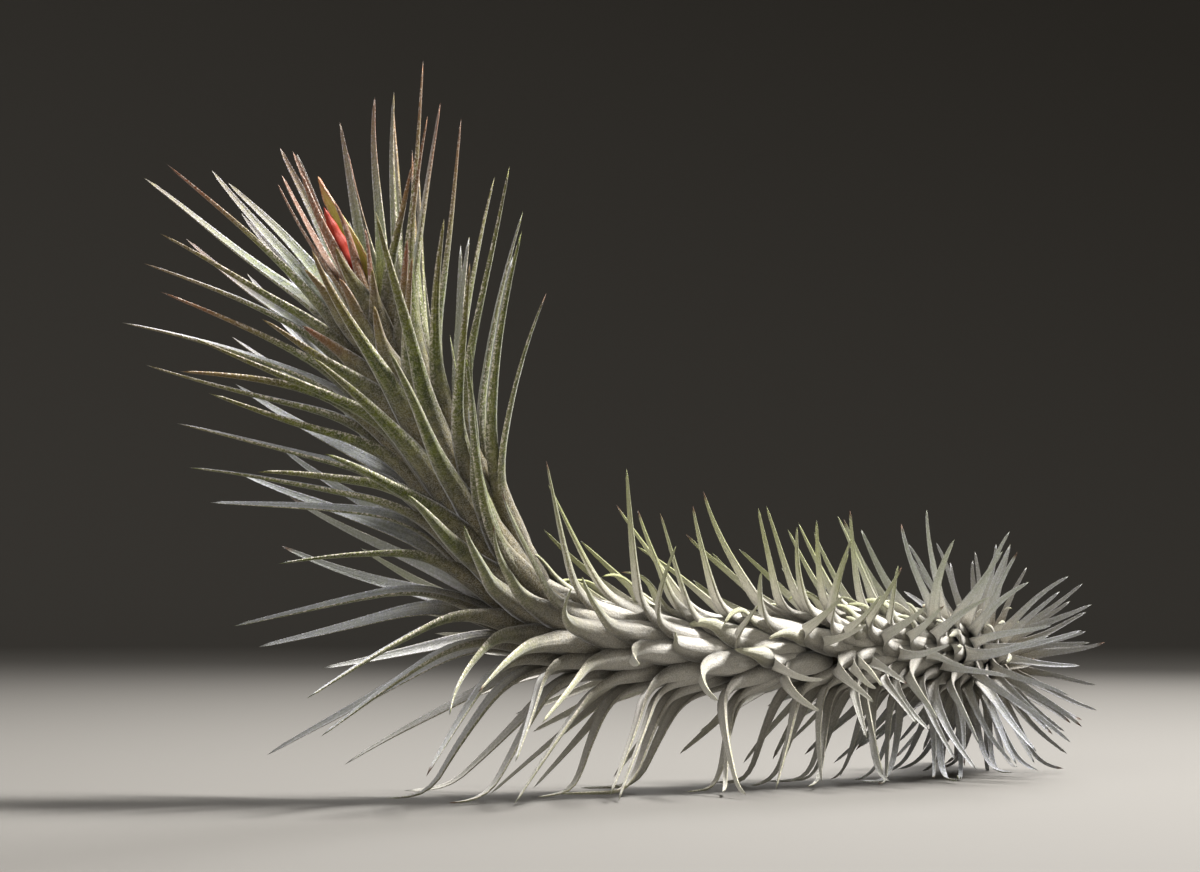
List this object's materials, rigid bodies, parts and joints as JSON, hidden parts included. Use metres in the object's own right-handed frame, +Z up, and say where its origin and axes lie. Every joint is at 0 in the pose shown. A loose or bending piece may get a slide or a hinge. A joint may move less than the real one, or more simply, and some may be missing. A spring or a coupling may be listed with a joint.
{
  "type": "air plant",
  "caption": "Stem-forming air plant in bud: a curved leafy stem of overlapping silver-green needle leaves, lying on a surface with its rose-tinted head raised.",
  "frame": {"origin": "on the surface that the plant lies on, under the middle of its box", "axes": "+Z up; X along the lying stem, with the raised head towards -X; Y across it"},
  "size_m": [0.1862, 0.083, 0.1084],
  "materials": {
    "silver_leaf": "matt silver-green leaf with a frosting of scales",
    "rosy_leaf": "matt rose-flushed leaf",
    "red_bud": "satin red-orange bud",
    "yellow_green_bract": "satin yellow-green bract",
    "dry_stem": "matt dry brown stem and withered leaves"
  },
  "bodies": {
    "root": {"leafy_stem": "silver_leaf", "heart_leaves": "rosy_leaf", "flower_bud": "red_bud", "floral_bract": "yellow_green_bract", "dry_stem_end": "dry_stem"}
  },
  "joints": []
}
